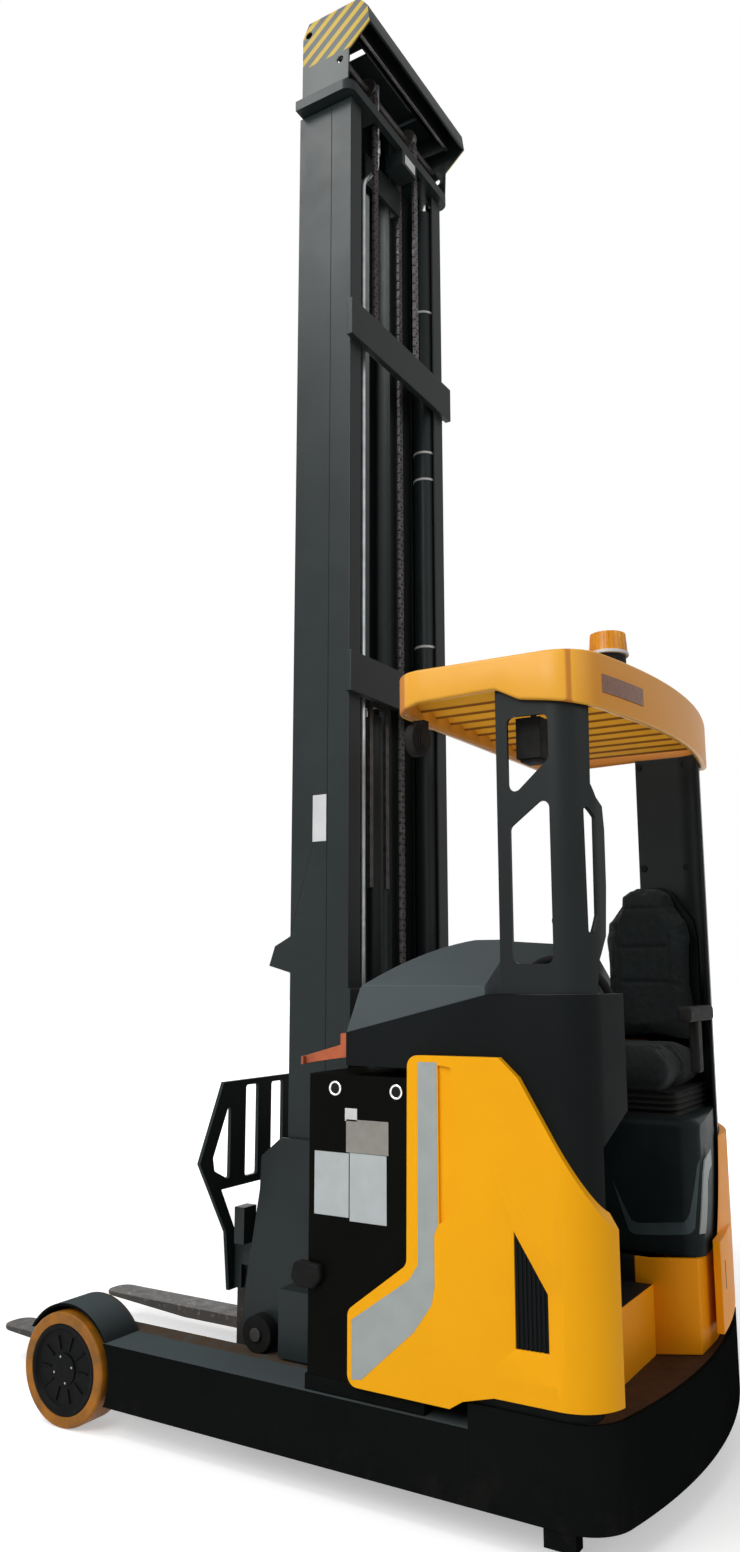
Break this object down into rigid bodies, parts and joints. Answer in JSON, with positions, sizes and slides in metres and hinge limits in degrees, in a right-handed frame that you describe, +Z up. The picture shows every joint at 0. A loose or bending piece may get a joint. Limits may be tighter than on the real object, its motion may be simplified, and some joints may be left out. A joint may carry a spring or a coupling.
{
  "type": "narrow aisle reach truck",
  "caption": "Sit-on narrow aisle reach truck with a telescopic mast on straddle legs, sliding fork carriage, yellow mouldings and an open overhead guard.",
  "frame": {"origin": "middle of the floor rectangle under the whole truck, forks and load wheels included", "axes": "+Z up, forks point along -Y, +X is the truck's left side"},
  "size_m": [1.27, 2.463, 4.8],
  "materials": {
    "amber_lens": "gloss",
    "amber_tread": "satin",
    "bare_steel": "worn",
    "battery_steel": "gloss",
    "black_tread": "matt",
    "cast_iron": "rough",
    "chain_steel": "oiled",
    "chassis_black": "satin",
    "chrome_rod": "polished",
    "cover_grey": "fine grain",
    "fork_steel": "worn",
    "housing_black": "fine grain",
    "mast_black": "semi-gloss",
    "seat_fabric": "woven",
    "yellow": "satin",
    "yellow_moulding": "satin"
  },
  "bodies": {
    "root": {"battery_box": "battery_steel", "battery_tray": "chassis_black", "beacon": "amber_lens", "bulkhead": "chassis_black", "cab_floor": "chassis_black", "chassis_skirt": "chassis_black", "console_left": "housing_black", "control_levers": "chassis_black", "drive_motor": "cast_iron", "guard_rim": "yellow", "guard_slats": "yellow", "hood": "cover_grey", "leg_left": "chassis_black", "leg_right": "chassis_black", "load_axles": "bare_steel", "pillar_left": "mast_black", "pillar_right": "mast_black", "reach_cylinder": "mast_black", "seat_back": "seat_fabric", "seat_cushion": "seat_fabric", "seat_plinth": "yellow_moulding", "seat_pod": "housing_black", "seat_suspension": "chassis_black", "side_panel_left": "yellow_moulding", "side_panel_right": "yellow_moulding", "steering_wheel": "chassis_black", "work_light": "chassis_black"},
    "load_wheel_left": {"load_hub_left": "cast_iron", "load_tyre_left": "amber_tread"},
    "load_wheel_right": {"load_hub_right": "cast_iron", "load_tyre_right": "amber_tread"},
    "drive_unit": {"drive_gearbox": "cast_iron"},
    "drive_wheel": {"drive_wheel": "black_tread"},
    "reach_mast": {"reach_carriage": "chassis_black", "reach_rollers": "bare_steel", "outer_mast": "mast_black", "lift_cylinders": "mast_black", "reach_rod": "chrome_rod"},
    "middle_stage": {"middle_mast": "mast_black", "lift_rods": "chrome_rod", "lift_chains": "chain_steel"},
    "inner_stage": {"inner_mast": "mast_black", "free_lift_cylinder": "mast_black"},
    "free_lift": {"free_lift_rod": "chrome_rod", "free_lift_head": "chain_steel"},
    "fork_carriage": {"lift_carriage": "mast_black"},
    "tilt_frame": {"tilt_carriage": "mast_black"},
    "side_shift_frame": {"side_shifter": "mast_black", "load_backrest": "mast_black"},
    "fork_left": {"fork_left": "fork_steel"},
    "fork_right": {"fork_right": "fork_steel"}
  },
  "joints": [
    {"name": "load_wheel_left_spin", "type": "hinge", "parent": "root", "child": "load_wheel_left", "pos_m": [0.58, -0.5835, 0.165], "axis": [1, 0, 0], "continuous": true},
    {"name": "load_wheel_right_spin", "type": "hinge", "parent": "root", "child": "load_wheel_right", "pos_m": [-0.58, -0.5835, 0.165], "axis": [1, 0, 0], "continuous": true},
    {"name": "drive_steer", "type": "hinge", "parent": "root", "child": "drive_unit", "pos_m": [-0.185, 0.9165, 0.1715], "axis": [0, 0, 1], "range_deg": [-90, 90]},
    {"name": "drive_spin", "type": "hinge", "parent": "drive_unit", "child": "drive_wheel", "pos_m": [-0.185, 0.9165, 0.1715], "axis": [1, 0, 0], "continuous": true},
    {"name": "mast_reach", "type": "slide", "parent": "root", "child": "reach_mast", "axis": [0, -1, 0], "range_m": [0, 0.58]},
    {"name": "middle_lift", "type": "slide", "parent": "reach_mast", "child": "middle_stage", "axis": [0, 0, 1], "range_m": [0, 3.3]},
    {"name": "inner_lift", "type": "slide", "parent": "middle_stage", "child": "inner_stage", "axis": [0, 0, 1], "range_m": [0, 3.3]},
    {"name": "fork_lift", "type": "slide", "parent": "inner_stage", "child": "fork_carriage", "axis": [0, 0, 1], "range_m": [-0.055, 3.5]},
    {"name": "free_lift", "type": "slide", "parent": "inner_stage", "child": "free_lift", "axis": [0, 0, 1], "range_m": [-0.03, 1.76]},
    {"name": "fork_tilt", "type": "hinge", "parent": "fork_carriage", "child": "tilt_frame", "pos_m": [0, -0.0205, 0.51], "axis": [-1, 0, 0], "range_deg": [-2, 4]},
    {"name": "side_shift", "type": "slide", "parent": "tilt_frame", "child": "side_shift_frame", "axis": [1, 0, 0], "range_m": [-0.05, 0.05]},
    {"name": "fork_left_spread", "type": "slide", "parent": "side_shift_frame", "child": "fork_left", "axis": [1, 0, 0], "range_m": [-0.12, 0.005]},
    {"name": "fork_right_spread", "type": "slide", "parent": "side_shift_frame", "child": "fork_right", "axis": [-1, 0, 0], "range_m": [-0.12, 0.005]}
  ],
  "couplings": [
    {"joint": "inner_lift", "follows": "middle_lift", "ratio": 1},
    {"joint": "free_lift", "follows": "fork_lift", "ratio": 0.5}
  ]
}
